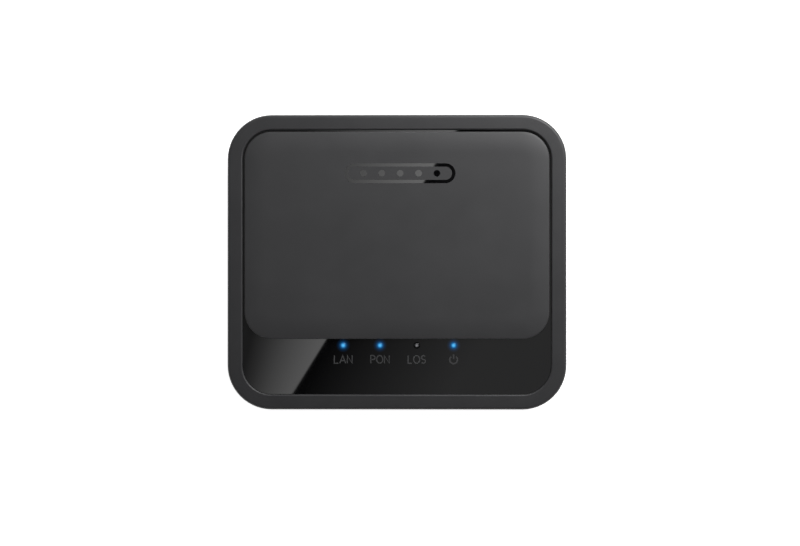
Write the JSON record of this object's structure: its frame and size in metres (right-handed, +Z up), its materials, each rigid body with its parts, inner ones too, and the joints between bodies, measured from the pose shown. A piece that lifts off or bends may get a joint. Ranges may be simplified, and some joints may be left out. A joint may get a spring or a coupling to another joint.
{
  "type": "optical network terminal",
  "caption": "Small flat desktop box with a sunk gloss deck, a matt cover plate and indicator windows, and an optical port, network jack, power inlet and buttons at the back.",
  "frame": {"origin": "centre of the footprint, on the surface that the feet stand on", "axes": "+Z up; +Y towards the rear face with the ports; -Y towards the edge with the indicators; +X to the right as seen from the front"},
  "size_m": [0.092, 0.08, 0.0273],
  "materials": {
    "case_matt": "fine satin texture, dark grey",
    "plate_matt": "fine satin texture, dark grey",
    "gloss_black": "polished black",
    "foot_rubber": "matt black rubber",
    "label_film": "satin silver film",
    "steel": "plated steel",
    "aluminium": "satin",
    "gold_plate": "gold plated",
    "indicator_lit": "clear light guide, lit blue",
    "indicator_unlit": "clear light guide, unlit",
    "board_green": "solder mask",
    "chip_black": "moulded epoxy",
    "port_green": "moulded, satin green",
    "port_black": "moulded, satin black",
    "led_body": "moulded white chip package",
    "ceramic_white": "polished ceramic",
    "pad_grey": "soft heat pad",
    "print_grey": "printed ink, grey",
    "key_black": "moulded, satin black",
    "key_white": "moulded, satin off-white"
  },
  "bodies": {
    "terminal": {"base_shell": "case_matt", "top_housing": "case_matt", "gloss_panel": "gloss_black", "top_plate": "plate_matt", "foot_front_left": "foot_rubber", "foot_front_right": "foot_rubber", "foot_rear_left": "foot_rubber", "foot_rear_right": "foot_rubber", "case_screw_left": "steel", "case_screw_right": "steel", "rating_label": "label_film", "light_pipe_holder": "port_black", "light_pipe_lan": "indicator_lit", "light_pipe_pon": "indicator_lit", "light_pipe_los": "indicator_unlit", "light_pipe_power": "indicator_lit", "led_lan": "led_body", "led_pon": "led_body", "led_los": "led_body", "led_power": "led_body", "main_board": "board_green", "board_screw_left": "steel", "board_screw_right": "steel", "soc_chip": "chip_black", "thermal_pad": "pad_grey", "heat_sink": "aluminium", "memory_chip": "chip_black", "flash_chip": "chip_black", "laser_driver_chip": "chip_black", "regulator_chip": "chip_black", "power_inductor": "chip_black", "lan_transformer": "chip_black", "crystal_can": "steel", "filter_capacitor_input": "aluminium", "filter_capacitor_output": "aluminium", "pon_adapter": "port_green", "ferrule_sleeve": "ceramic_white", "optical_body": "steel", "laser_can": "gold_plate", "receiver_can": "gold_plate", "lan_jack_shield": "steel", "lan_jack_insert": "port_black", "lan_jack_contacts": "gold_plate", "dc_inlet_body": "port_black", "dc_inlet_pin": "steel", "dc_inlet_contact": "steel", "reset_switch_body": "port_black", "power_switch_body": "port_black"},
    "power_key": {"power_button": "key_black"},
    "reset_key": {"reset_button": "key_white"}
  },
  "joints": [
    {"name": "power_press", "type": "slide", "parent": "terminal", "child": "power_key", "axis": [0, -1, 0], "range_m": [-0.0015, 0.001], "stiffness_N_per_m": 400},
    {"name": "reset_press", "type": "slide", "parent": "terminal", "child": "reset_key", "axis": [0, -1, 0], "range_m": [0, 0.0003], "stiffness_N_per_m": 2000}
  ]
}
